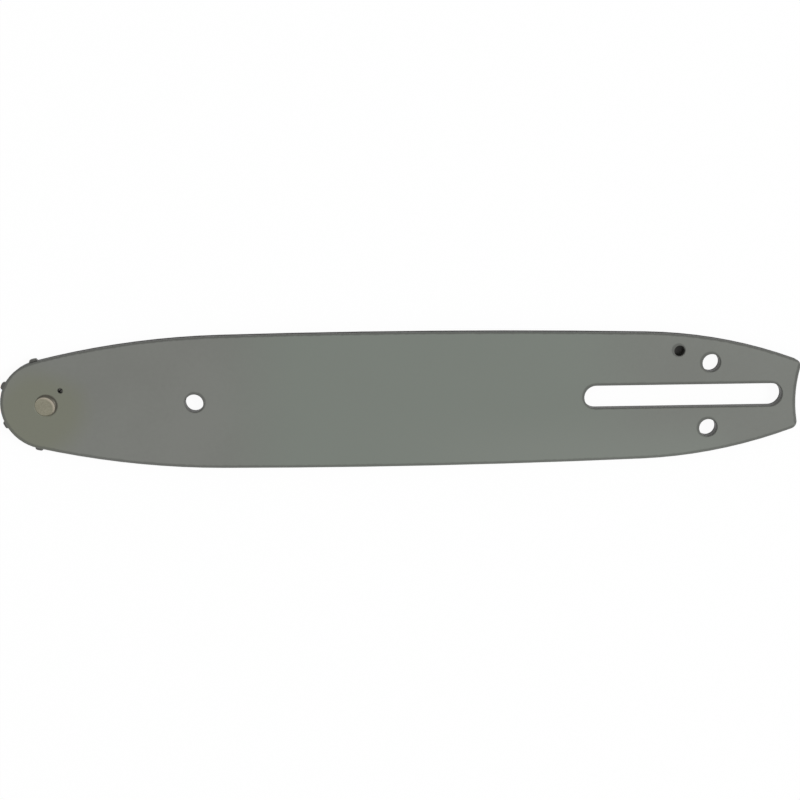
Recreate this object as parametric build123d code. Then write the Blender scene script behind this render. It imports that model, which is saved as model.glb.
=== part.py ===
from build123d import *
from math import acos, asin, atan2, cos, floor, hypot, pi, radians, sin, tan
import os

# Guide bar of a small chainsaw: two side plates on a thinner core plate, with a toothed wheel in the nose.
# The bar lies flat on its back plate. X runs from nose to tail, Y across the bar and Z through the plates.
# Sizes are millimetres and degrees. A station is a distance from the wheel's axis towards the tail.

# Outline of the side plates, a chain of arcs that run into each other
NOSE_RADIUS = 17.3
FLANK_RADIUS = 318.0
BAR_WIDTH = 52.9
BELLY_STATION = 127.0
BELLY_RADIUS = 3640.0
TAIL_RADIUS = 183.0
TAIL_STATION = 290.3
TAIL_WIDTH = 25.7
TAIL_HOLLOW = 1.7
TAIL_CORNER_RADIUS = 2.8

# Stack of plates
SIDE_THICKNESS = 1.45
CHAIN_GAUGE = 1.3
GROOVE_DEPTH = 5.4
RAIL_EDGE_BREAK = 0.4
HOLE_EDGE_BREAK = 0.3

# Slot and holes of the tail, each placed from the tail's corners, and the hole to hang the bar by
STUD_SLOT_WIDTH = 9.1
STUD_SLOT_LENGTH = 77.1
STUD_SLOT_FROM_TAIL = 7.0
TENSIONER_HOLE_DIAMETER = 6.9
TENSIONER_HOLE_SPACING = 25.8
TENSIONER_HOLE_FROM_TAIL = 35.3
TENSIONER_LAND = 1.0
OIL_HOLE_DIAMETER = 4.0
OIL_HOLE_OFFSET = 17.8
OIL_HOLE_FROM_TAIL = 47.9
HANGING_HOLE_DIAMETER = 7.0
HANGING_HOLE_STATION = 56.2

# Nose wheel
TOOTH_COUNT = 7
TOOTH_PROUD = 1.1
TOOTH_TIP_WIDTH = 2.6
TOOTH_TIP_ROUND = 0.9
TOOTH_PHASE = 102.5
GULLET_RADIUS = 3.2
WHEEL_RIM = 2.1
WHEEL_SIDE_CLEARANCE = 0.05
WHEEL_TIP_CLEARANCE = 0.6

# Roller bearing of the wheel, greased through a hole over the rollers
RACE_RADIUS = 6.85
ROLLER_DIAMETER = 2.5
ROLLER_CLEARANCE = 0.03
GREASE_HOLE_DIAMETER = 1.9
GREASE_HOLE_ANGLE = 45.0

# Nose rivet, flush in a countersunk seat, peened off centre so that its bevel leaves a crescent-shaped groove
RIVET_SHANK_DIAMETER = 5.2
RIVET_SEAT_DIAMETER = 9.0
RIVET_SEAT_LAND = 0.3
RIVET_CLEARANCE = 0.03
RIVET_FACE_DIAMETER = 7.4
RIVET_FACE_OFFSET = 0.4
RIVET_FACE_ANGLE = 190.0
RIVET_BEVEL_ANGLE = 43.0

# Places worked out from the sizes above
BAR_THICKNESS = 2 * SIDE_THICKNESS + CHAIN_GAUGE
TAIL_OVERRUN = TAIL_WIDTH / 4
NOSE_AXIS = Pos((NOSE_RADIUS - TAIL_STATION) / 2, 0, 0)
TIP_RADIUS = NOSE_RADIUS + TOOTH_PROUD
ROLLER_TRACK_RADIUS = RACE_RADIUS + ROLLER_CLEARANCE + ROLLER_DIAMETER / 2
WHEEL_BORE_RADIUS = ROLLER_TRACK_RADIUS + ROLLER_DIAMETER / 2 + ROLLER_CLEARANCE
WHEEL_THICKNESS = CHAIN_GAUGE - 2 * WHEEL_SIDE_CLEARANCE
WHEEL_BASE = SIDE_THICKNESS + WHEEL_SIDE_CLEARANCE
RIVET_HOLE_RADIUS = RIVET_SHANK_DIAMETER / 2 + RIVET_CLEARANCE
RIVET_SEAT_DEPTH = SIDE_THICKNESS - RIVET_SEAT_LAND
STUD_SLOT_STATION = TAIL_STATION - STUD_SLOT_FROM_TAIL - STUD_SLOT_LENGTH / 2
TENSIONER_HOLE_STATION = TAIL_STATION - TENSIONER_HOLE_FROM_TAIL
OIL_HOLE_STATION = TAIL_STATION - OIL_HOLE_FROM_TAIL


def from_centre(centre, radius, angle):
    """Point at a radius and an angle in radians from a centre."""
    return centre + Vector(cos(angle), sin(angle)) * radius


def sight(centre, point):
    """Angle in radians at which a point is seen from a centre."""
    return atan2(point.Y - centre.Y, point.X - centre.X)


def arc_between(centre, radius, start, end):
    """Arc about a centre, from one angle to another."""
    points = [from_centre(centre, radius, angle) for angle in (start, (start + end) / 2, end)]
    return ThreePointArc(*points)


def circle_meetings(first, first_radius, second, second_radius):
    """The two points where two circles meet, the one nearer to the nose first."""
    apart = (second - first).length
    along = (first_radius**2 - second_radius**2 + apart**2) / (2 * apart)
    spread = acos(along / first_radius)
    middle = sight(first, second)
    meetings = [from_centre(first, first_radius, middle + turn) for turn in (spread, -spread)]
    return sorted(meetings, key=lambda point: point.X)


def rail_centres():
    """Centres of the nose, flank, belly and tail arcs, each tangent to the next, up to the tail's corner."""
    nose = Vector(0, 0)
    belly = Vector(BELLY_STATION, BAR_WIDTH / 2 - BELLY_RADIUS)
    corner = Vector(TAIL_STATION, TAIL_WIDTH / 2)
    flank = circle_meetings(nose, FLANK_RADIUS - NOSE_RADIUS, belly, BELLY_RADIUS - FLANK_RADIUS)[1]
    tail = circle_meetings(corner, TAIL_RADIUS, belly, BELLY_RADIUS - TAIL_RADIUS)[0]
    return nose, flank, belly, tail


def bar_face(inset):
    """Outline of the bar, drawn in from the rails by an inset and cut off at the hollow tail end."""
    nose, flank, belly, tail = rail_centres()
    leave_nose = sight(flank, nose)
    join_belly = sight(belly, flank)
    join_tail = sight(belly, tail)
    past_corner = acos((TAIL_STATION + TAIL_OVERRUN - tail.X) / TAIL_RADIUS)
    rail = [
        arc_between(flank, FLANK_RADIUS - inset, leave_nose, join_belly),
        arc_between(belly, BELLY_RADIUS - inset, join_belly, join_tail),
        arc_between(tail, TAIL_RADIUS - inset, join_tail, past_corner),
    ]
    other_rail = [edge.mirror(Plane.XZ) for edge in rail]
    nose_arc = arc_between(nose, NOSE_RADIUS - inset, leave_nose, 2 * pi - leave_nose)
    closing = Line(rail[-1] @ 1, other_rail[-1] @ 1)
    hollow_radius = TAIL_WIDTH**2 / (8 * TAIL_HOLLOW) + TAIL_HOLLOW / 2
    hollow = Pos(TAIL_STATION - TAIL_HOLLOW + hollow_radius, 0) * Circle(hollow_radius)
    return make_face([nose_arc, *rail, closing, *other_rail]) - hollow


def tensioner_discs(radius):
    """Two discs at the places of the tensioner holes."""
    places = [Pos(TENSIONER_HOLE_STATION, side * TENSIONER_HOLE_SPACING / 2) for side in (-1, 1)]
    return [place * Circle(radius) for place in places]


def through_openings():
    """Stud slot, tensioner holes and hanging hole, which pass through every plate."""
    slot = Pos(STUD_SLOT_STATION, 0) * SlotOverall(STUD_SLOT_LENGTH, STUD_SLOT_WIDTH)
    hanging = Pos(HANGING_HOLE_STATION, 0) * Circle(HANGING_HOLE_DIAMETER / 2)
    return slot + hanging + tensioner_discs(TENSIONER_HOLE_DIAMETER / 2)


def turned_about_axis(profile):
    """Solid turned about the wheel's axis from a closed profile of radii and heights."""
    return revolve(make_face(Plane.XZ * Polyline(profile, close=True)), Axis.Z)


def side_plate():
    """Side plate with its outer face up, on the plane of its inner face."""
    outline = bar_face(0)
    outline = fillet(outline.vertices().sort_by(Axis.X)[-2:], TAIL_CORNER_RADIUS)
    oil_hole = Pos(OIL_HOLE_STATION, OIL_HOLE_OFFSET) * Circle(OIL_HOLE_DIAMETER / 2)
    grease_place = from_centre(Vector(0, 0), ROLLER_TRACK_RADIUS, radians(GREASE_HOLE_ANGLE))
    grease_hole = Pos(grease_place) * Circle(GREASE_HOLE_DIAMETER / 2)
    plate = extrude(outline - through_openings() - oil_hole - grease_hole, SIDE_THICKNESS)
    outer_face = plate.faces().sort_by(Axis.Z)[-1]
    plate = chamfer(outer_face.inner_wires().edges(), HOLE_EDGE_BREAK)
    outer_face = plate.faces().sort_by(Axis.Z)[-1]
    plate = chamfer(outer_face.outer_wire().edges(), RAIL_EDGE_BREAK)
    seat_profile = [
        (0, 0),
        (RIVET_HOLE_RADIUS, 0),
        (RIVET_HOLE_RADIUS, RIVET_SEAT_LAND),
        (RIVET_SEAT_DIAMETER / 2, SIDE_THICKNESS),
        (0, SIDE_THICKNESS),
    ]
    return plate - turned_about_axis(seat_profile)


def core_plate():
    """Core plate, short of the rails by the groove, with room for the wheel and a way in for the oil."""
    wheel_room = Circle(TIP_RADIUS + WHEEL_TIP_CLEARANCE)
    lands = tensioner_discs(TENSIONER_HOLE_DIAMETER / 2 + TENSIONER_LAND)
    face = bar_face(GROOVE_DEPTH) + lands - wheel_room - through_openings()
    oil_run = BAR_WIDTH / 2 - OIL_HOLE_OFFSET
    for side in (-1, 1):
        well = Pos(OIL_HOLE_STATION, side * OIL_HOLE_OFFSET) * Circle(OIL_HOLE_DIAMETER / 2)
        middle_of_run = side * (OIL_HOLE_OFFSET + oil_run / 2)
        channel = Pos(OIL_HOLE_STATION, middle_of_run) * Rectangle(OIL_HOLE_DIAMETER, oil_run)
        face -= well + channel
    return Pos(0, 0, SIDE_THICKNESS) * extrude(face, CHAIN_GAUGE)


def gullet():
    """One gullet between two teeth, pointing along X: a round root that opens in straight flanks."""
    root = Vector(WHEEL_BORE_RADIUS + WHEEL_RIM + GULLET_RADIUS, 0)
    tip_half_angle = asin(TOOTH_TIP_WIDTH / 2 / TIP_RADIUS)
    tip_corner = from_centre(Vector(0, 0), TIP_RADIUS, pi / TOOTH_COUNT - tip_half_angle)
    corner_reach = (tip_corner - root).length
    flank_angle = sight(root, tip_corner) + acos(GULLET_RADIUS / corner_reach)
    flank_foot = from_centre(root, GULLET_RADIUS, flank_angle)
    flank_end = tip_corner + (tip_corner - flank_foot).normalized() * TIP_RADIUS
    upper = [flank_foot, flank_end]
    lower = [Vector(point.X, -point.Y) for point in reversed(upper)]
    mouth = make_face(Polyline(*upper, *lower, close=True))
    return mouth + Pos(root) * Circle(GULLET_RADIUS)


def nose_sprocket():
    """Toothed wheel that carries the chain round the nose."""
    wheel = Circle(TIP_RADIUS) - Circle(WHEEL_BORE_RADIUS)
    pitch = 360 / TOOTH_COUNT
    for tooth in range(TOOTH_COUNT):
        wheel -= Rot(0, 0, TOOTH_PHASE + (tooth + 0.5) * pitch) * gullet()
    outermost = TIP_RADIUS - TOOTH_TIP_ROUND
    tip_corners = [corner for corner in wheel.vertices() if hypot(corner.X, corner.Y) > outermost]
    wheel = fillet(tip_corners, TOOTH_TIP_ROUND)
    return Pos(0, 0, WHEEL_BASE) * extrude(wheel, WHEEL_THICKNESS)


def inner_race():
    """Fixed ring that the rivet clamps between the side plates."""
    ring = Circle(RACE_RADIUS) - Circle(RIVET_HOLE_RADIUS)
    return Pos(0, 0, SIDE_THICKNESS) * extrude(ring, CHAIN_GAUGE)


def needle_rollers():
    """Full set of loose rollers between the race and the wheel."""
    roller_angle = 2 * asin((ROLLER_DIAMETER + ROLLER_CLEARANCE) / 2 / ROLLER_TRACK_RADIUS)
    count = floor(2 * pi / roller_angle)
    roller = extrude(Circle(ROLLER_DIAMETER / 2), WHEEL_THICKNESS)
    centre = Vector(0, 0, WHEEL_BASE)
    turns = [2 * pi * number / count for number in range(count)]
    return [Pos(from_centre(centre, ROLLER_TRACK_RADIUS, turn)) * roller for turn in turns]


def nose_rivet():
    """Rivet with a countersunk head at each end, flush with the side plates and bevelled off centre."""
    seat_fill = [
        (0, 0),
        (RIVET_SEAT_DIAMETER / 2 - RIVET_CLEARANCE, 0),
        (RIVET_SHANK_DIAMETER / 2, RIVET_SEAT_DEPTH),
        (RIVET_SHANK_DIAMETER / 2, BAR_THICKNESS / 2),
        (0, BAR_THICKNESS / 2),
    ]
    bevel_reach = BAR_THICKNESS / 2 / tan(radians(RIVET_BEVEL_ANGLE))
    bevel = [
        (0, 0),
        (RIVET_FACE_DIAMETER / 2, 0),
        (RIVET_FACE_DIAMETER / 2 + bevel_reach, BAR_THICKNESS / 2),
        (0, BAR_THICKNESS / 2),
    ]
    face_place = from_centre(Vector(0, 0), RIVET_FACE_OFFSET, radians(RIVET_FACE_ANGLE))
    half = turned_about_axis(seat_fill) & Pos(face_place) * turned_about_axis(bevel)
    return half + half.mirror(Plane.XY.offset(BAR_THICKNESS / 2))


def guide_bar():
    """Every piece of the bar by name, placed about the wheel's axis."""
    front = Pos(0, 0, SIDE_THICKNESS + CHAIN_GAUGE) * side_plate()
    turn_over = Pos(0, 0, BAR_THICKNESS) * Rot(180, 0, 0)
    pieces = {
        "front_side_plate": front,
        "back_side_plate": turn_over * front,
        "core_plate": core_plate(),
        "nose_sprocket": nose_sprocket(),
        "inner_race": inner_race(),
        "nose_rivet": nose_rivet(),
    }
    for number, roller in enumerate(needle_rollers(), start=1):
        pieces[f"needle_roller_{number:02d}"] = roller
    return pieces


os.makedirs("parts", exist_ok=True)
for name, piece in guide_bar().items():
    export_step(NOSE_AXIS * piece, f"parts/{name}.step")
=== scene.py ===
"""Looks of a small chainsaw guide bar: satin grey paint, worn rails, a bare rivet and an oily nose wheel."""

from __future__ import annotations

import logging
import math
from dataclasses import dataclass
from enum import Enum
from typing import Any, Iterable, Mapping, Union

import bpy
from mathutils import Matrix, Vector

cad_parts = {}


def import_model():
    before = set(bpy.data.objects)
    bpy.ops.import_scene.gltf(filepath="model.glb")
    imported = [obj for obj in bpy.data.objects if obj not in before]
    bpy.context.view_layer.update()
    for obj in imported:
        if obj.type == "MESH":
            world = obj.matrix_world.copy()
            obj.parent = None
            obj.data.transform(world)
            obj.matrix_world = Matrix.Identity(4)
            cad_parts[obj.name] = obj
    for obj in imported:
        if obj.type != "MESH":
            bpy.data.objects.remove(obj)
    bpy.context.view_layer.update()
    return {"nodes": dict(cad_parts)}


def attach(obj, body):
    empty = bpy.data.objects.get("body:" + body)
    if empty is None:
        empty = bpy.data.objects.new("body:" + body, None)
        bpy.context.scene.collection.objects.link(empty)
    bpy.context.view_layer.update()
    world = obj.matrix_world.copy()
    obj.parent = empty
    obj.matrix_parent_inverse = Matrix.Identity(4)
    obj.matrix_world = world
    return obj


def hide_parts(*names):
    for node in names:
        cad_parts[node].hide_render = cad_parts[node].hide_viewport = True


LOG = logging.getLogger("guide_bar")
MM = 0.001
MICROMETRE = 1e-6
NOISE_MIDDLE = 0.5
WHITE = (1.0, 1.0, 1.0, 1.0)
# A Mix node has sockets of the same name for each kind of data, so those for colours go by number.
MIX_SHARE, MIX_FIRST, MIX_SECOND, MIX_RESULT = 0, 6, 7, 2
Colour = tuple[float, float, float]
Triple = tuple[float, float, float]
Spot = tuple[float, float]
Span = tuple[float, float]
Number = Union[float, "Value"]


class Side(Enum):
    """The two painted plates, by the name of their solid."""

    FRONT = "front_side_plate"
    BACK = "back_side_plate"


class BareSteel(Enum):
    """The unpainted steel pieces that are one solid each, by the name of their solid."""

    CORE = "core_plate"
    WHEEL = "nose_sprocket"
    RACE = "inner_race"
    RIVET = "nose_rivet"


class Value:
    """A number that changes over a surface. Python's operators on it add Math nodes."""

    def __init__(self, graph: NodeGraph, socket: bpy.types.NodeSocket | None) -> None:
        """Wraps an output socket.

        Args:
            graph: The graph that the socket is in.
            socket: The output that gives the number, colour, vector or shader.
        """
        self.graph = graph
        self.socket = socket

    def _maths(self, operation: str, first: Number, second: Number = 0.0) -> Value:
        """Adds one Math node.

        Args:
            operation: The node's operation.
            first: Its first number.
            second: Its second number.

        Returns:
            The node's result.
        """
        return self.graph.node("ShaderNodeMath", {"operation": operation}, {0: first, 1: second})

    def __add__(self, other: Number) -> Value:
        """This number plus another."""
        return self._maths("ADD", self, other)

    def __radd__(self, other: Number) -> Value:
        """Another number plus this one."""
        return self._maths("ADD", other, self)

    def __sub__(self, other: Number) -> Value:
        """This number less another."""
        return self._maths("SUBTRACT", self, other)

    def __rsub__(self, other: Number) -> Value:
        """Another number less this one."""
        return self._maths("SUBTRACT", other, self)

    def __mul__(self, other: Number) -> Value:
        """This number times another."""
        return self._maths("MULTIPLY", self, other)

    def __rmul__(self, other: Number) -> Value:
        """Another number times this one."""
        return self._maths("MULTIPLY", other, self)

    def __neg__(self) -> Value:
        """This number with its sign turned round."""
        return self._maths("SUBTRACT", 0.0, self)

    def __abs__(self) -> Value:
        """This number without its sign."""
        return self._maths("ABSOLUTE", self)

    def root(self) -> Value:
        """Square root of this number."""
        return self._maths("SQRT", self)

    def least(self, other: Number) -> Value:
        """The smaller of this number and another."""
        return self._maths("MINIMUM", self, other)

    def most(self, other: Number) -> Value:
        """The larger of this number and another."""
        return self._maths("MAXIMUM", self, other)

    def below(self, limit: Number) -> Value:
        """One where this number is under a limit, and nothing elsewhere."""
        return self._maths("LESS_THAN", self, limit)

    def sway(self, width: float) -> Value:
        """This noise moved to lie about 0 and made as wide as given."""
        return (self - NOISE_MIDDLE) * width

    def fade(self, span: Span) -> Value:
        """Smooth step from 0 to 1.

        Args:
            span: The number where the step is 0, and the one where it is 1.

        Returns:
            The step, held to the range from 0 to 1.
        """
        settings = {"interpolation_type": "SMOOTHSTEP"}
        steps = {0: self, 1: span[0], 2: span[1], 3: 0.0, 4: 1.0}
        return self.graph.node("ShaderNodeMapRange", settings, steps)


class NodeGraph:
    """A shader or geometry node tree that is filled by code."""

    def __init__(self, tree: bpy.types.NodeTree) -> None:
        """Takes over a tree and empties it.

        Args:
            tree: The tree to fill.
        """
        self.tree = tree
        tree.nodes.clear()

    def node(
        self,
        kind: str,
        settings: Mapping[str, Any] | None = None,
        inputs: Mapping[int | str, Any] | None = None,
        output: int | str = 0,
    ) -> Value:
        """Makes one node, the only place where nodes are made.

        Args:
            kind: The node's type.
            settings: Its properties, set before its sockets.
            inputs: Values or links by the input's number or name.
            output: The number or name of the output to return.

        Returns:
            The chosen output, or a stand-in with no socket where the node has no outputs.
        """
        made = self.tree.nodes.new(kind)
        for name, setting in (settings or {}).items():
            setattr(made, name, setting)
        for key, given in (inputs or {}).items():
            socket = made.inputs[key]
            if isinstance(given, Value):
                self.tree.links.new(given.socket, socket)
            else:
                socket.default_value = given
        return Value(self, made.outputs[output] if made.outputs else None)

    def outputs(
        self, kind: str, names: Iterable[str], inputs: Mapping[int | str, Any] | None = None
    ) -> list[Value]:
        """Makes one node and gives several of its outputs.

        Args:
            kind: The node's type.
            names: The names of the outputs.
            inputs: Values or links by the input's number or name.

        Returns:
            The outputs, in the order of the names.
        """
        made = self.node(kind, None, inputs).socket.node
        return [Value(self, made.outputs[name]) for name in names]

    def axes(self, place: Value) -> list[Value]:
        """A position's distance along the bar, to the side and up."""
        return self.outputs("ShaderNodeSeparateXYZ", "XYZ", {"Vector": place})

    def noise(
        self, place: Value, grain: float, layers: float = 3.0, stretch: Triple = (1.0, 1.0, 1.0)
    ) -> Value:
        """Noise of about a given grain.

        Args:
            place: Position in millimetres.
            grain: Size of the noise's lumps in millimetres.
            layers: How many finer layers it has.
            stretch: How much longer the lumps are along each axis.

        Returns:
            The noise, about 0 to 1.
        """
        scale = [1.0 / (grain * longer) for longer in stretch]
        spot = self.node("ShaderNodeVectorMath", {"operation": "MULTIPLY"}, {0: place, 1: scale})
        return self.node("ShaderNodeTexNoise", None, {"Vector": spot, "Scale": 1.0, "Detail": layers})

    def mix(self, share: Number, first: Colour | Value, second: Colour | Value) -> Value:
        """Mix of two colours.

        Args:
            share: The second colour's share.
            first: The first colour.
            second: The second colour.

        Returns:
            The mixed colour.
        """
        ends = [end if isinstance(end, Value) else (*end, 1.0) for end in (first, second)]
        inputs = {MIX_SHARE: share, MIX_FIRST: ends[0], MIX_SECOND: ends[1]}
        return self.node("ShaderNodeMix", {"data_type": "RGBA"}, inputs, MIX_RESULT)

    def bump(self, height: Value, micrometres: float) -> Value:
        """Normal of a surface with small hills.

        Args:
            height: Height of the hills, 0 to 1.
            micrometres: Height of a hill of 1.

        Returns:
            The normal.
        """
        inputs = {"Strength": 1.0, "Distance": micrometres * MICROMETRE, "Height": height}
        return self.node("ShaderNodeBump", None, inputs)


@dataclass(frozen=True)
class Arc:
    """A circle that an edge or a mark follows, in millimetres from the wheel's axis."""

    centre: Vector
    radius: float

    def depth(self, along: Value, across: Value) -> Value:
        """How far a point lies inside the circle.

        Args:
            along: The point's station.
            across: The point's distance from the bar's middle line.

        Returns:
            The depth in millimetres, below 0 outside.
        """
        right = along - self.centre.x
        up = across - self.centre.y
        return self.radius - (right * right + up * up).root()

    def meetings(self, other: Arc) -> list[Vector]:
        """The two points where this circle meets another, the one nearer to the nose first.

        Args:
            other: The other circle.

        Returns:
            The points.
        """
        apart = other.centre - self.centre
        along = (self.radius**2 - other.radius**2 + apart.length**2) / (2 * apart.length)
        spread = math.acos(along / self.radius)
        middle = math.atan2(apart.y, apart.x)
        turns = (middle + spread, middle - spread)
        points = [self.centre + Vector((math.cos(turn), math.sin(turn))) * self.radius for turn in turns]
        return sorted(points, key=lambda point: point.x)


@dataclass
class BarPlates:
    """The two side plates with the groove between them.

    Sizes are millimetres, turns are degrees, and stations are measured from the wheel's axis.
    """

    nose_radius: float = 17.3
    flank_radius: float = 318.0
    width: float = 52.9
    belly_station: float = 127.0
    belly_radius: float = 3640.0
    tail_radius: float = 183.0
    tail_station: float = 290.3
    tail_width: float = 25.7
    tail_hollow: float = 1.7
    thickness: float = 4.2
    groove_width: float = 1.3
    slot_width: float = 9.1
    slot_length: float = 77.1
    slot_station: float = 244.75
    tensioner_diameter: float = 6.9
    tensioner_spacing: float = 25.8
    tensioner_station: float = 255.0
    oil_diameter: float = 4.0
    oil_station: float = 242.4
    oil_offset: float = 17.8
    hanging_diameter: float = 7.0
    hanging_station: float = 56.2
    grease_diameter: float = 1.9
    grease_radius: float = 8.13
    grease_turn: float = 45.0

    @property
    def axis_station(self) -> float:
        """How far the bar's middle lies from the wheel's axis."""
        return (self.tail_station - self.nose_radius) / 2

    def place(self, graph: NodeGraph) -> Value:
        """Position on the bar in a material.

        Args:
            graph: The material's graph.

        Returns:
            The position in millimetres from the wheel's axis.
        """
        spot = graph.node("ShaderNodeTexCoord", None, None, "Object")
        sizes = {0: spot, 1: (1 / MM, 1 / MM, 1 / MM), 2: (self.axis_station, 0.0, 0.0)}
        return graph.node("ShaderNodeVectorMath", {"operation": "MULTIPLY_ADD"}, sizes)

    def rail_depth(self, along: Value, across: Value) -> Value:
        """How far a point lies in from the rails and from the hollow tail end.

        Args:
            along: The point's station.
            across: The point's distance from the middle line, on either side.

        Returns:
            The depth in millimetres.
        """
        nose = Arc(Vector((0.0, 0.0)), self.nose_radius)
        belly = Arc(Vector((self.belly_station, self.width / 2 - self.belly_radius)), self.belly_radius)
        corner = Vector((self.tail_station, self.tail_width / 2))
        from_nose = Arc(nose.centre, self.flank_radius - self.nose_radius)
        from_corner = Arc(corner, self.tail_radius)
        flank_centre = from_nose.meetings(Arc(belly.centre, self.belly_radius - self.flank_radius))[1]
        tail_centre = from_corner.meetings(Arc(belly.centre, self.belly_radius - self.tail_radius))[0]
        flank = Arc(flank_centre, self.flank_radius)
        tail = Arc(tail_centre, self.tail_radius)
        depth = tail.depth(along, across)
        # From the tail to the nose, each arc runs up to where it touches the next one.
        for wider, narrower in ((belly, tail), (belly, flank), (flank, nose)):
            towards = (narrower.centre - wider.centre).normalized()
            join = wider.centre.x + towards.x * wider.radius
            before = wider if narrower is tail else narrower
            depth = depth + (before.depth(along, across) - depth) * along.below(join)
        hollow_radius = self.tail_width**2 / (8 * self.tail_hollow) + self.tail_hollow / 2
        hollow = Arc(Vector((self.tail_station - self.tail_hollow + hollow_radius, 0.0)), hollow_radius)
        return depth.least(-hollow.depth(along, across))

    def opening_depth(self, along: Value, across: Value, plate_across: Value) -> Value:
        """How far a point lies from the edge of the nearest opening, apart from the rivet's seat.

        Args:
            along: The point's station.
            across: The point's distance from the middle line, on either side.
            plate_across: Its distance to that side of the middle line where the plate has its oil hole.

        Returns:
            The distance in millimetres.
        """
        straight = self.slot_length - self.slot_width
        past_straight = (abs(along - self.slot_station) - straight / 2).most(0.0)
        nearest = (past_straight * past_straight + across * across).root() - self.slot_width / 2
        turn = math.radians(self.grease_turn)
        grease = (self.grease_radius * math.cos(turn), self.grease_radius * math.sin(turn))
        two_sided = (
            (self.hanging_station, 0.0, self.hanging_diameter),
            (self.tensioner_station, self.tensioner_spacing / 2, self.tensioner_diameter),
        )
        one_sided = (
            (self.oil_station, self.oil_offset, self.oil_diameter),
            (*grease, self.grease_diameter),
        )
        for height, holes in ((across, two_sided), (plate_across, one_sided)):
            for station, offset, diameter in holes:
                hole = Arc(Vector((station, offset)), diameter / 2)
                nearest = nearest.least(-hole.depth(along, height))
        return nearest

    def dress(self, nodes: Mapping[str, bpy.types.Object], paint: SatinPaint) -> None:
        """Gives both plates their paint.

        Args:
            nodes: The solids by name.
            paint: The paint.
        """
        coat = paint.material(self)
        for side in Side:
            wear(nodes[side.value], coat)


@dataclass(frozen=True)
class Stretch:
    """A stretch of the bar where a colour shows, by stations in millimetres from the wheel's axis."""

    rise: Span
    fall: Span
    loss: float
    share: float

    def shown(self, along: Value) -> Value:
        """The colour's share at a station, which falls by the loss past the stretch."""
        return along.fade(self.rise) * (1.0 - along.fade(self.fall) * self.loss) * self.share


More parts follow.
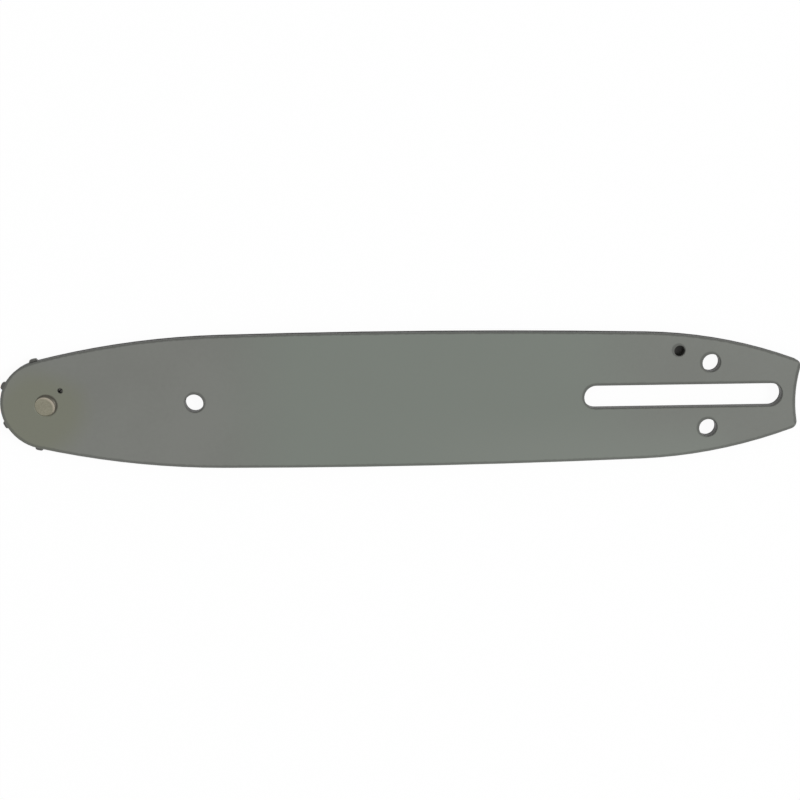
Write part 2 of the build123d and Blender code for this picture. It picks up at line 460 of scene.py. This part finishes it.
@dataclass(frozen=True)
class SatinPaint:
    """Grey paint, olive over the nose, with bare rails, oily inner faces darkened as painted shade, a
    painted sheen on the lower side, and painted shade along the edges, on the hole walls and in the rivet's
    seat.

    Sizes, places, reaches and lifts are millimetres. A sway is how far noise moves a mark's edge or the
    roughness. A span is where a mark starts and where it ends, in millimetres or as a value of noise.
    """

    name: str = "satin_grey_paint"
    grey: Colour = (0.168, 0.173, 0.158)
    pale: Colour = (0.180, 0.186, 0.170)
    cool: Colour = (0.174, 0.197, 0.171)
    lower_sheen: Colour = (0.190, 0.207, 0.184)
    olive: Colour = (0.165, 0.171, 0.131)
    # Dark specks and scratches, and the painted shade along the edges.
    dark_specks_and_edge_shade: Colour = (0.078, 0.080, 0.073)
    rail: Colour = (0.067, 0.067, 0.063)
    hole_wall_shade: Colour = (0.060, 0.061, 0.056)
    seat_shade: Colour = (0.100, 0.096, 0.077)
    oily: Colour = (0.018, 0.017, 0.014)

    cloud_size: float = 38.0
    patch_size: float = 1.6
    speck_size: float = 0.22
    scratch_size: float = 0.06
    scratch_stretch: Triple = (60.0, 60.0, 1.0)
    noise_layers: float = 2.0

    cloud_share: float = 0.7
    pale_span: Span = (0.35, 0.68)
    cool_stretch: Stretch = Stretch(rise=(55.0, 100.0), fall=(195.0, 245.0), loss=0.85, share=0.8)
    lower_sheen_stretch: Stretch = Stretch(rise=(110.0, 200.0), fall=(250.0, 272.0), loss=1.0, share=0.8)
    lower_sheen_span: Span = (2.0, 24.0)
    olive_place: Spot = (-2.5, -5.0)
    olive_sway: float = 14.0
    olive_span: Span = (10.0, 23.0)
    olive_share: float = 0.9
    speck_span: Span = (0.3, 0.75)
    speck_share: float = 0.06

    edge_sway: float = 0.7
    rail_lift: float = 0.25
    rail_draw: float = 0.002
    rail_line: Span = (0.62, 1.22)
    lower_line_share: float = 0.54
    upper_line_gain: float = 0.22
    upper_span: Span = (-10.0, 10.0)
    rim_lift: float = 0.40
    rim_draw: float = 0.004
    rim_line: Span = (0.35, 0.98)
    rim_sway_share: float = 0.5
    rim_line_share: float = 0.68
    past_nose: Span = (10.0, 30.0)

    seat_shade_place: Spot = (0.35, 0.25)
    seat_shade_reach: float = 4.20
    seat_shade_sway_share: float = 0.3
    seat_shade_span: Span = (-0.20, 0.12)
    bare_sway: float = 0.10
    bare_span: Span = (0.02, 0.10)
    wall_span: Span = (0.0, 0.12)
    inner_margin: float = 0.01
    scratch_span: Span = (0.3, 0.7)
    scratch_share: float = 0.5

    roughness: float = 0.52
    rough_sway: float = 0.10
    bare_polish: float = 0.12
    oil_polish: float = 0.15
    rail_metal: float = 0.8
    gloss: float = 0.3
    hill_micrometres: float = 3.0
    patch_hills: float = 0.45
    speck_hills: float = 0.55

    def material(self, bar: BarPlates) -> bpy.types.Material:
        """Builds the paint.

        Args:
            bar: The plates whose edges the paint follows.

        Returns:
            The material.
        """
        made = new_material(self.name)
        graph = NodeGraph(made.node_tree)
        place = bar.place(graph)
        along, side, up = graph.axes(place)
        across = abs(side)
        facing = 1.0 - 2.0 * up.below(bar.thickness / 2)
        clouds = graph.noise(place, self.cloud_size, self.noise_layers)
        patches = graph.noise(place, self.patch_size)
        specks = graph.noise(place, self.speck_size, self.noise_layers)
        scratches = graph.noise(place, self.scratch_size, self.noise_layers, self.scratch_stretch)
        ragged = patches.sway(self.edge_sway)
        coat = self.tone(graph, along, side, clouds, patches)
        coat = graph.mix(specks.fade(self.speck_span) * self.speck_share, coat, self.dark_specks_and_edge_shade)
        # Painted shade: dark lines along the rails and round the openings, stronger along the upper edges.
        coat = graph.mix(self.edge_shade_share(bar, along, side, facing, ragged), coat, self.dark_specks_and_edge_shade)
        # Painted shade: a dark crescent in the rivet's seat on its upper right, where the wall faces away
        # from the key lamp.
        seat = Arc(Vector(self.seat_shade_place), self.seat_shade_reach).depth(along, side)
        coat = graph.mix((seat + ragged * self.seat_shade_sway_share).fade(self.seat_shade_span), coat, self.seat_shade)
        rails = bar.rail_depth(along, across)
        bare = 1.0 - (rails + patches.sway(self.bare_sway)).fade(self.bare_span)
        walls = 1.0 - bar.opening_depth(along, across, side * facing).fade(self.wall_span)
        inside = abs(up - bar.thickness / 2).below(bar.groove_width / 2 + self.inner_margin)
        steel = graph.mix(scratches.fade(self.scratch_span) * self.scratch_share, self.rail, self.dark_specks_and_edge_shade)
        colour = graph.mix(bare, coat, steel)
        # Painted shade on the walls of the openings.
        colour = graph.mix(walls, colour, self.hole_wall_shade)
        # Unpainted oily steel on the inner faces, made near black as painted shade in the groove and the
        # holes.
        colour = graph.mix(inside, colour, self.oily)
        rough = self.roughness + patches.sway(self.rough_sway)
        rough = rough - bare * self.bare_polish - inside * self.oil_polish
        metal = bare * (1.0 - walls) * self.rail_metal
        hills = graph.bump(patches * self.patch_hills + specks * self.speck_hills, self.hill_micrometres)
        end_in_shader(graph, colour, rough, metal, hills, self.gloss)
        return made

    def tone(self, graph: NodeGraph, along: Value, side: Value, clouds: Value, patches: Value) -> Value:
        """Colour of sound paint, with its slow changes over the bar and a painted sheen on its lower side.

        Args:
            graph: The material's graph.
            along: The point's station.
            side: Its distance from the middle line, below 0 on the lower side.
            clouds: Broad noise.
            patches: Finer noise.

        Returns:
            The colour.
        """
        mottle = clouds * self.cloud_share + patches * (1.0 - self.cloud_share)
        coat = graph.mix(mottle.fade(self.pale_span), self.grey, self.pale)
        coat = graph.mix(self.cool_stretch.shown(along), coat, self.cool)
        # Painted sheen: lighter and a little greener towards the lower side, along the tail half.
        low = (-side).fade(self.lower_sheen_span)
        coat = graph.mix(low * self.lower_sheen_stretch.shown(along), coat, self.lower_sheen)
        from_olive = -Arc(Vector(self.olive_place), 0.0).depth(along, side)
        past_olive = (from_olive + clouds.sway(self.olive_sway)).fade(self.olive_span)
        return graph.mix((1.0 - past_olive) * self.olive_share, coat, self.olive)

    def edge_shade_share(
        self, bar: BarPlates, along: Value, side: Value, facing: Value, ragged: Value
    ) -> Value:
        """Share of the painted shade in the dark lines along the rails and round the openings, which stands
        for the shading of their rounded edges.

        The lines lie a little higher than the edges and are drawn in a little towards the bar's middle.

        Args:
            bar: The plates whose edges the lines follow.
            along: The point's station.
            side: Its distance from the middle line, below 0 on the lower side.
            facing: 1 on the front plate and -1 on the back plate.
            ragged: How far the lines' own edges sway.

        Returns:
            The painted shade's share.
        """
        outward = along - bar.axis_station
        edges = bar.rail_depth(along + outward * self.rail_draw, abs(side - self.rail_lift))
        share = self.lower_line_share + side.fade(self.upper_span) * self.upper_line_gain
        by_rails = (1.0 - (edges + ragged).fade(self.rail_line)) * share
        lifted = side - self.rim_lift
        rims = bar.opening_depth(along + outward * self.rim_draw, abs(lifted), lifted * facing)
        by_rims = 1.0 - (rims + ragged * self.rim_sway_share).fade(self.rim_line)
        return by_rails.most(by_rims * along.fade(self.past_nose) * self.rim_line_share)


@dataclass(frozen=True)
class WorkedSteel:
    """Bare steel with the marks of its making and a little oil. Sizes are millimetres."""

    name: str
    light: Colour
    dark: Colour
    roughness: float
    metal: float
    grain: float
    mark_span: Span = (0.3, 0.7)
    mark_sway: float = 0.16
    cloud_size: float = 4.0
    cloud_sway: float = 0.10
    stain: Colour = (0.03, 0.028, 0.022)
    stain_span: Span = (0.45, 0.75)
    stain_share: float = 0.25
    hill_micrometres: float = 2.0
    gloss: float = 0.5

    def material(self, bar: BarPlates) -> bpy.types.Material:
        """Builds the steel.

        Args:
            bar: The plates, which give the place of the wheel's axis.

        Returns:
            The material.
        """
        made = new_material(self.name)
        graph = NodeGraph(made.node_tree)
        place = bar.place(graph)
        marks = graph.noise(place, self.grain)
        clouds = graph.noise(place, self.cloud_size)
        colour = graph.mix(marks.fade(self.mark_span), self.dark, self.light)
        colour = graph.mix(clouds.fade(self.stain_span) * self.stain_share, colour, self.stain)
        colour = self.tint(graph, place, colour)
        rough = self.roughness + marks.sway(self.mark_sway) + clouds.sway(self.cloud_sway)
        hills = graph.bump(marks, self.hill_micrometres)
        end_in_shader(graph, colour, rough, self.metal, hills, self.gloss)
        return made

    def tint(self, graph: NodeGraph, place: Value, colour: Value) -> Value:
        """Colour after marks that only some pieces have, none here."""
        return colour


@dataclass(frozen=True)
class RivetSteel(WorkedSteel):
    """Steel of the flush rivet, with a painted highlight on the right edge of its face and painted shade on
    its bevel in the seat.
    """

    bright: Colour = (0.385, 0.345, 0.280)
    highlight_place: Spot = (-1.20, -1.05)
    highlight_span: Span = (-0.30, 0.70)
    highlight_share: float = 0.9
    seat_shade: Colour = (0.094, 0.088, 0.071)
    seat_shade_place: Spot = (-0.55, -0.65)
    seat_shade_span: Span = (0.10, 0.34)
    face_radius: float = 3.7

    def tint(self, graph: NodeGraph, place: Value, colour: Value) -> Value:
        """Adds the painted highlight and the painted shade.

        Args:
            graph: The material's graph.
            place: Position in millimetres from the wheel's axis.
            colour: The plain steel's colour.

        Returns:
            The colour with both.
        """
        along, side, _ = graph.axes(place)
        # Painted highlight on the edge of the face that turns towards the key lamp.
        into_highlight = -Arc(Vector(self.highlight_place), self.face_radius).depth(along, side)
        colour = graph.mix(into_highlight.fade(self.highlight_span) * self.highlight_share, colour, self.bright)
        # Painted shade on the rivet's bevel in its seat, on the upper right where it faces away from the key
        # lamp.
        into_seat_shade = -Arc(Vector(self.seat_shade_place), self.face_radius).depth(along, side)
        return graph.mix(into_seat_shade.fade(self.seat_shade_span), colour, self.seat_shade)


@dataclass
class NoseBearing:
    """The loose rollers that the nose wheel turns on. Sizes are millimetres."""

    track_radius: float = 8.13
    roller_diameter: float = 2.5
    roller_length: float = 1.2
    roller_end_round: float = 0.12
    roller_base: float = 1.5
    roller_rings: int = 9
    roller_sides: int = 28
    roller_prefix: str = "needle_roller_"

    def roller_tree(self) -> bpy.types.GeometryNodeTree:
        """Geometry nodes for a ring of rollers with rounded ends.

        Returns:
            The tree, with its sizes and its steel as inputs.
        """
        tree = bpy.data.node_groups.new("roller_ring", "GeometryNodeTree")
        graph = NodeGraph(tree)
        kinds = {
            "Count": "NodeSocketInt",
            "Track radius": "NodeSocketFloat",
            "Roller radius": "NodeSocketFloat",
            "Roller length": "NodeSocketFloat",
            "End round": "NodeSocketFloat",
            "Axis station": "NodeSocketFloat",
            "Base height": "NodeSocketFloat",
            "Steel": "NodeSocketMaterial",
        }
        for name, kind in kinds.items():
            tree.interface.new_socket(name, in_out="INPUT", socket_type=kind)
        tree.interface.new_socket("Rollers", in_out="OUTPUT", socket_type="NodeSocketGeometry")
        given = dict(zip(kinds, graph.outputs("NodeGroupInput", kinds)))
        top = graph.node("ShaderNodeCombineXYZ", None, {"Z": given["Roller length"]})
        core = graph.node("GeometryNodeCurvePrimitiveLine", None, {"End": top})
        core = graph.node("GeometryNodeResampleCurve", None, {"Curve": core, "Count": self.roller_rings})
        at_end = graph.node("GeometryNodeCurveEndpointSelection")
        reach = given["Roller radius"] - at_end * given["End round"]
        circle = {"Resolution": self.roller_sides, "Radius": 1.0}
        ring = graph.node("GeometryNodeCurvePrimitiveCircle", None, circle)
        tube = {"Curve": core, "Profile Curve": ring, "Scale": reach, "Fill Caps": True}
        roller = graph.node("GeometryNodeCurveToMesh", None, tube)
        track = {"Vertices": given["Count"], "Radius": given["Track radius"]}
        spots = graph.node("GeometryNodeMeshCircle", None, track)
        rollers = graph.node("GeometryNodeInstanceOnPoints", None, {"Points": spots, "Instance": roller})
        offset = {"X": given["Axis station"], "Z": given["Base height"]}
        where = graph.node("ShaderNodeCombineXYZ", None, offset)
        rollers = graph.node("GeometryNodeTransform", None, {"Geometry": rollers, "Translation": where})
        rollers = graph.node("GeometryNodeRealizeInstances", None, {"Geometry": rollers})
        dressed = {"Geometry": rollers, "Material": given["Steel"]}
        rollers = graph.node("GeometryNodeSetMaterial", None, dressed)
        graph.node("NodeGroupOutput", None, {"Rollers": rollers})
        return tree

    def build_rollers(
        self, nodes: Mapping[str, bpy.types.Object], bar: BarPlates, steel: bpy.types.Material
    ) -> bpy.types.Object:
        """Makes the set of rollers as one mesh, in the place of the plain ones.

        Args:
            nodes: The solids by name.
            bar: The plates, which give the place of the wheel's axis.
            steel: The rollers' steel.

        Returns:
            The set of rollers.
        """
        plain = sorted(name for name in nodes if name.startswith(self.roller_prefix))
        given = {
            "Count": len(plain),
            "Track radius": self.track_radius * MM,
            "Roller radius": self.roller_diameter / 2 * MM,
            "Roller length": self.roller_length * MM,
            "End round": self.roller_end_round * MM,
            "Axis station": -bar.axis_station * MM,
            "Base height": self.roller_base * MM,
            "Steel": steel,
        }
        rollers = grown_mesh("roller_set", self.roller_tree(), given)
        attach(rollers, "rollers")
        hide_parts(*plain)
        return rollers


@dataclass
class Studio:
    """White floor, soft light and the camera. Lengths are metres, turns are radians."""

    floor_half: float = 4.0
    floor_drop: float = 0.0002
    floor_shade: float = 0.95
    floor_glow: float = 0.95
    sky: float = 0.65
    key_place: Triple = (5.28, 0.70, 4.64)
    key_size: float = 2.56
    key_power: float = 264.0
    camera_aim: Triple = (-0.00141, -0.00085, 0.0)
    camera_distance: float = 0.4791
    camera_near: float = 0.01
    camera_lean: float = 0.2424
    camera_swing: float = -0.0310
    camera_roll: float = 0.0155
    image_width: float = 800.0
    pixel: float = 0.0003875
    sensor: float = 36.0

    def build_floor(self) -> None:
        """Makes the floor, white to the camera and in reflections, with the bar's soft shadow."""
        mesh = bpy.data.meshes.new("floor")
        half = self.floor_half
        square = [(-half, -half), (half, -half), (half, half), (-half, half)]
        mesh.from_pydata([(x, y, -self.floor_drop) for x, y in square], [], [(0, 1, 2, 3)])
        floor = bpy.data.objects.new("floor", mesh)
        bpy.context.scene.collection.objects.link(floor)
        made = new_material("floor_white")
        graph = NodeGraph(made.node_tree)
        shade = (self.floor_shade, self.floor_shade, self.floor_shade, 1.0)
        matt = graph.node("ShaderNodeBsdfDiffuse", None, {"Color": shade})
        glow = graph.node("ShaderNodeEmission", None, {"Color": WHITE, "Strength": 1.0})
        glow_share = seen_directly(graph) * self.floor_glow
        seen = graph.node("ShaderNodeMixShader", None, {0: glow_share, 1: matt, 2: glow})
        below = graph.node("ShaderNodeNewGeometry", None, None, "Backfacing")
        clear = graph.node("ShaderNodeBsdfTransparent")
        surface = graph.node("ShaderNodeMixShader", None, {0: below, 1: seen, 2: clear})
        graph.node("ShaderNodeOutputMaterial", None, {"Surface": surface})
        mesh.materials.append(made)

    def build_light(self) -> None:
        """Makes the sky and the key lamp, which stands to the right of the tail."""
        world = bpy.data.worlds.new("sky")
        world.use_nodes = True
        bpy.context.scene.world = world
        graph = NodeGraph(world.node_tree)
        strength = self.sky + seen_directly(graph) * (1.0 - self.sky)
        sky = graph.node("ShaderNodeBackground", None, {"Color": WHITE, "Strength": strength})
        graph.node("ShaderNodeOutputWorld", None, {"Surface": sky})
        lamp = bpy.data.lights.new("key", "AREA")
        lamp.shape = "DISK"
        lamp.size = self.key_size
        lamp.energy = self.key_power
        key = bpy.data.objects.new("key", lamp)
        key.location = self.key_place
        key.rotation_mode = "QUATERNION"
        key.rotation_quaternion = (-Vector(self.key_place)).to_track_quat("-Z", "Y")
        bpy.context.scene.collection.objects.link(key)

    def build_camera(self) -> None:
        """Makes the camera, almost straight above the bar."""
        lean = Matrix.Rotation(-self.camera_lean, 3, "X")
        swing = Matrix.Rotation(self.camera_swing, 3, "Y")
        roll = Matrix.Rotation(-self.camera_roll, 3, "Z")
        turn = lean @ swing @ roll
        lens = bpy.data.cameras.new("camera")
        lens.sensor_width = self.sensor
        lens.lens = self.camera_distance / self.pixel * self.sensor / self.image_width
        lens.clip_start = self.camera_near
        camera = bpy.data.objects.new("camera", lens)
        camera.matrix_world = turn.to_4x4()
        camera.location = Vector(self.camera_aim) + turn @ Vector((0.0, 0.0, self.camera_distance))
        bpy.context.scene.collection.objects.link(camera)
        bpy.context.scene.camera = camera
        bpy.context.scene.view_settings.view_transform = "Standard"


def new_material(name: str) -> bpy.types.Material:
    """Makes a material with nodes.

    Args:
        name: The material's name.

    Returns:
        The material.
    """
    made = bpy.data.materials.new(name)
    made.use_nodes = True
    return made


def end_in_shader(
    graph: NodeGraph, colour: Value, rough: Number, metal: Number, normal: Value, gloss: float
) -> None:
    """Ends a material's graph in its shader.

    Args:
        graph: The material's graph.
        colour: The surface's colour.
        rough: Its roughness.
        metal: How far it is bare metal.
        normal: Its normal with small hills.
        gloss: How much it reflects where it isn't metal.
    """
    inputs = {
        "Base Color": colour,
        "Roughness": rough,
        "Metallic": metal,
        "Normal": normal,
        "Specular IOR Level": gloss,
    }
    surface = graph.node("ShaderNodeBsdfPrincipled", None, inputs)
    graph.node("ShaderNodeOutputMaterial", None, {"Surface": surface})


def seen_directly(graph: NodeGraph) -> Value:
    """Tells rays that see a surface from rays of plain light.

    Args:
        graph: The graph of a material or the world.

    Returns:
        One for a ray from the camera, a reflection or glass, and nothing for the rest.
    """
    rays = ("Is Camera Ray", "Is Glossy Ray", "Is Transmission Ray")
    camera, glossy, through = graph.outputs("ShaderNodeLightPath", rays)
    return camera.most(glossy).most(through)


def wear(piece: bpy.types.Object, finish: bpy.types.Material) -> None:
    """Gives a piece one material in place of what it had.

    Args:
        piece: The piece.
        finish: The material.
    """
    piece.data.materials.clear()
    piece.data.materials.append(finish)
    LOG.info("%s wears %s", piece.name, finish.name)


def grown_mesh(name: str, tree: bpy.types.GeometryNodeTree, given: Mapping[str, Any]) -> bpy.types.Object:
    """Runs a geometry node tree and keeps its result as a plain mesh.

    Args:
        name: The new piece's name.
        tree: The tree.
        given: Its inputs by name.

    Returns:
        The piece.
    """
    carrier = bpy.data.objects.new(f"{name}_carrier", bpy.data.meshes.new(f"{name}_carrier"))
    bpy.context.scene.collection.objects.link(carrier)
    modifier = carrier.modifiers.new("grow", "NODES")
    modifier.node_group = tree
    for socket in tree.interface.items_tree:
        if socket.in_out == "INPUT":
            modifier[socket.identifier] = given[socket.name]
    carrier.update_tag()
    graph = bpy.context.evaluated_depsgraph_get()
    mesh = bpy.data.meshes.new_from_object(carrier.evaluated_get(graph), depsgraph=graph)
    mesh.name = name
    bpy.data.objects.remove(carrier)
    piece = bpy.data.objects.new(name, mesh)
    bpy.context.scene.collection.objects.link(piece)
    LOG.info("%s grown with %d faces", name, len(mesh.polygons))
    return piece


def bare_steels() -> dict[BareSteel, WorkedSteel]:
    """The steel of each unpainted piece.

    Returns:
        The steels by piece.
    """
    core = WorkedSteel(
        name="rolled_core_steel",
        light=(0.100, 0.100, 0.095),
        dark=(0.065, 0.065, 0.060),
        roughness=0.45,
        metal=0.8,
        grain=0.5,
    )
    wheel = WorkedSteel(
        name="oily_wheel_steel",
        light=(0.140, 0.140, 0.130),
        dark=(0.085, 0.085, 0.080),
        roughness=0.36,
        metal=0.85,
        grain=0.4,
    )
    race = WorkedSteel(
        name="greased_bearing_steel",
        light=(0.120, 0.118, 0.110),
        dark=(0.060, 0.058, 0.050),
        roughness=0.30,
        metal=0.9,
        grain=0.3,
    )
    rivet = RivetSteel(
        name="satin_rivet_steel",
        light=(0.252, 0.241, 0.184),
        dark=(0.208, 0.197, 0.146),
        roughness=0.42,
        metal=0.75,
        grain=0.5,
    )
    return {BareSteel.CORE: core, BareSteel.WHEEL: wheel, BareSteel.RACE: race, BareSteel.RIVET: rivet}


def main() -> None:
    """Builds the bar's looks and the studio round it."""
    logging.basicConfig(level=logging.INFO, format="%(name)s: %(message)s")
    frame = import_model()
    nodes = frame["nodes"]
    studio = Studio()
    studio.build_camera()
    studio.build_light()
    studio.build_floor()
    bar = BarPlates()
    bar.dress(nodes, SatinPaint())
    for piece, steel in bare_steels().items():
        wear(nodes[piece.value], steel.material(bar))
    bearing = NoseBearing()
    rollers = bearing.build_rollers(nodes, bar, nodes[BareSteel.RACE.value].data.materials[0])
    LOG.info("%s stands for the plain rollers", rollers.name)


if __name__ == "__main__":
    main()
